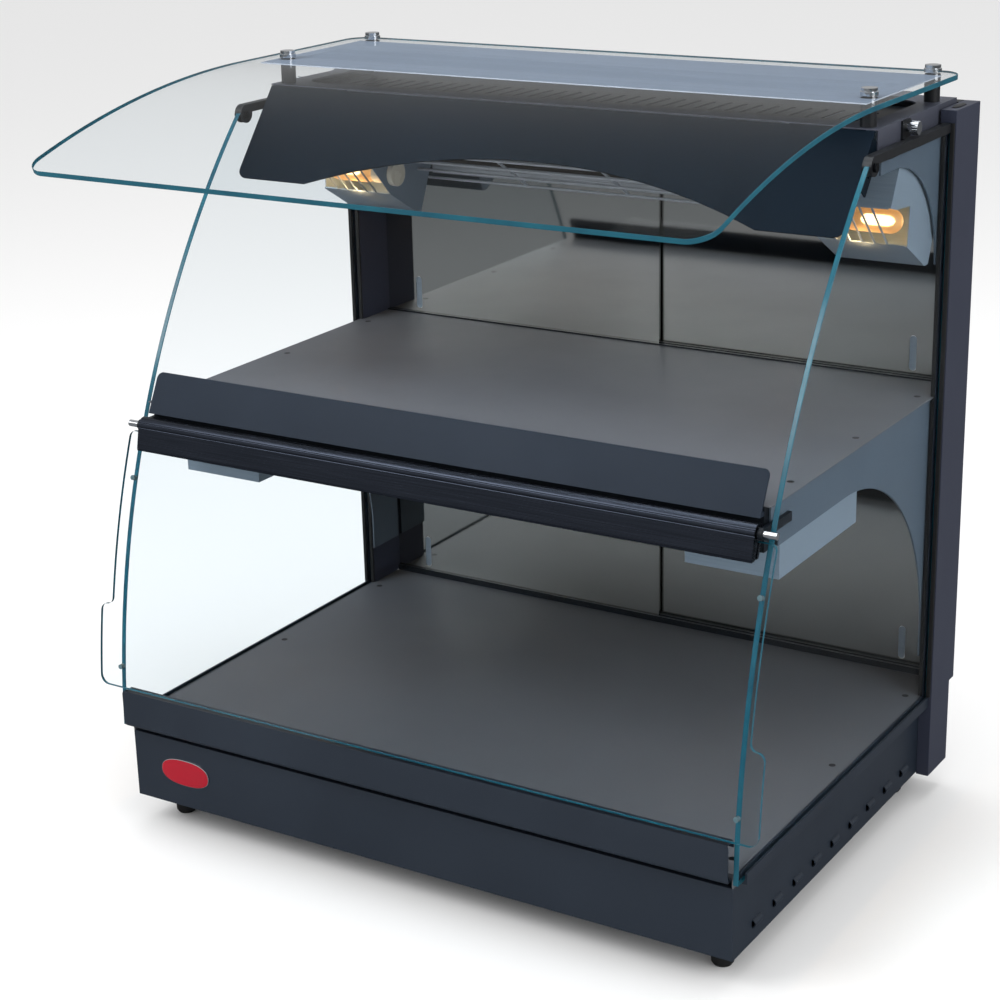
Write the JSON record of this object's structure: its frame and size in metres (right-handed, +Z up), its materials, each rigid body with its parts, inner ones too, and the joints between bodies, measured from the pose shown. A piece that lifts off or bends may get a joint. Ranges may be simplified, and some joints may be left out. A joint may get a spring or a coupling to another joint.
{
  "type": "hot food display case",
  "caption": "Heated countertop food display case with curved side glasses, a flip-up front glass, mirrored sliding rear doors and a lamp canopy.",
  "frame": {"origin": "centre of the bounding box at the underside of the feet", "axes": "+Z up, -Y towards the customer side with the flip-up glass, +X to the right seen from the customer side"},
  "size_m": [0.876, 0.69, 0.8965],
  "materials": {
    "dark_paint": "satin powder coat",
    "fascia_paint": "semi-gloss powder coat",
    "canopy_paint": "satin powder coat",
    "deck_steel": "matte grey coating",
    "bright_steel": "brushed",
    "element_sheath": "heat-darkened",
    "chrome": "polished",
    "clear_glass": "clear, teal edges",
    "mirror": "mirrored acrylic",
    "bulb_glass": "warm, lit",
    "black_plastic": "matte",
    "red_gloss": "glossy",
    "rubber": "matte",
    "clear_rubber": "translucent",
    "ceramic": "glazed ceramic",
    "heater_foil": "orange silicone heater mat"
  },
  "bodies": {
    "case": {"base_shell": "dark_paint", "base_bottom": "dark_paint", "rear_panel": "dark_paint", "feet": "rubber", "foot_bolts": "bright_steel", "deck_lip": "dark_paint", "lower_deck": "deck_steel", "deck_heater": "heater_foil", "glass_channels": "dark_paint", "side_glass_left": "clear_glass", "side_glass_right": "clear_glass", "column_left": "dark_paint", "column_right": "dark_paint", "gussets_upper": "dark_paint", "gussets_lower": "dark_paint", "shelf_deck": "deck_steel", "shelf_tray": "dark_paint", "shelf_heater": "heater_foil", "shelf_lip": "dark_paint", "hinge_brackets": "dark_paint", "hinge_rod": "chrome", "canopy_shell": "canopy_paint", "canopy_tray": "deck_steel", "canopy_fascia": "fascia_paint", "canopy_reflector": "bright_steel", "heating_element": "element_sheath", "element_guard": "bright_steel", "lamp_housings_upper": "bright_steel", "lamp_housings_lower": "bright_steel", "lamp_sockets": "ceramic", "lamp_bulbs": "bulb_glass", "top_glass": "clear_glass", "top_panel": "canopy_paint", "standoff_posts": "black_plastic", "standoff_caps": "chrome", "glass_clips": "black_plastic", "clip_bolts": "chrome", "rear_header": "dark_paint", "rear_midrail": "dark_paint", "rear_sill": "dark_paint", "switch_bodies": "black_plastic", "thermostats": "bright_steel", "terminal_block": "ceramic", "cord_gland": "black_plastic", "badge": "red_gloss", "deck_screws": "bright_steel"},
    "front_door": {"door_clamp": "black_plastic", "front_door_glass": "clear_glass", "door_bumpers": "clear_rubber"},
    "door_upper_left": {"door_upper_left": "mirror"},
    "door_upper_right": {"door_upper_right": "mirror"},
    "door_lower_left": {"door_lower_left": "mirror"},
    "door_lower_right": {"door_lower_right": "mirror"},
    "knob_shelf": {"knob_shelf": "black_plastic"},
    "knob_deck": {"knob_deck": "black_plastic"},
    "rocker_power": {"rocker_power": "red_gloss"},
    "rocker_lights": {"rocker_lights": "black_plastic"},
    "thumb_screw_left": {"thumb_screw_left": "chrome"},
    "thumb_screw_right": {"thumb_screw_right": "chrome"}
  },
  "joints": [
    {"name": "front_door_hinge", "type": "hinge", "parent": "case", "child": "front_door", "pos_m": [0, -0.196, 0.494], "axis": [-1, 0, 0], "range_deg": [0, 100]},
    {"name": "door_upper_left_slide", "type": "slide", "parent": "case", "child": "door_upper_left", "axis": [1, 0, 0], "range_m": [0, 0.385]},
    {"name": "door_upper_right_slide", "type": "slide", "parent": "case", "child": "door_upper_right", "axis": [-1, 0, 0], "range_m": [0, 0.385]},
    {"name": "door_lower_left_slide", "type": "slide", "parent": "case", "child": "door_lower_left", "axis": [1, 0, 0], "range_m": [0, 0.385]},
    {"name": "door_lower_right_slide", "type": "slide", "parent": "case", "child": "door_lower_right", "axis": [-1, 0, 0], "range_m": [0, 0.385]},
    {"name": "knob_shelf_turn", "type": "hinge", "parent": "case", "child": "knob_shelf", "pos_m": [-0.02, 0.337, 0.078], "axis": [0, -1, 0], "range_deg": [0, 300]},
    {"name": "knob_deck_turn", "type": "hinge", "parent": "case", "child": "knob_deck", "pos_m": [0.05, 0.337, 0.078], "axis": [0, -1, 0], "range_deg": [0, 300]},
    {"name": "rocker_power_tip", "type": "hinge", "parent": "case", "child": "rocker_power", "pos_m": [0.12, 0.319, 0.078], "axis": [0, 0, 1], "range_deg": [-20, 0]},
    {"name": "rocker_lights_tip", "type": "hinge", "parent": "case", "child": "rocker_lights", "pos_m": [0.17, 0.319, 0.078], "axis": [0, 0, 1], "range_deg": [-20, 0]},
    {"name": "thumb_screw_left_turn", "type": "hinge", "parent": "case", "child": "thumb_screw_left", "pos_m": [-0.406, 0.162, 0.846], "axis": [-1, 0, 0], "range_deg": [0, 180]},
    {"name": "thumb_screw_right_turn", "type": "hinge", "parent": "case", "child": "thumb_screw_right", "pos_m": [0.406, 0.162, 0.846], "axis": [1, 0, 0], "range_deg": [0, 180]}
  ]
}
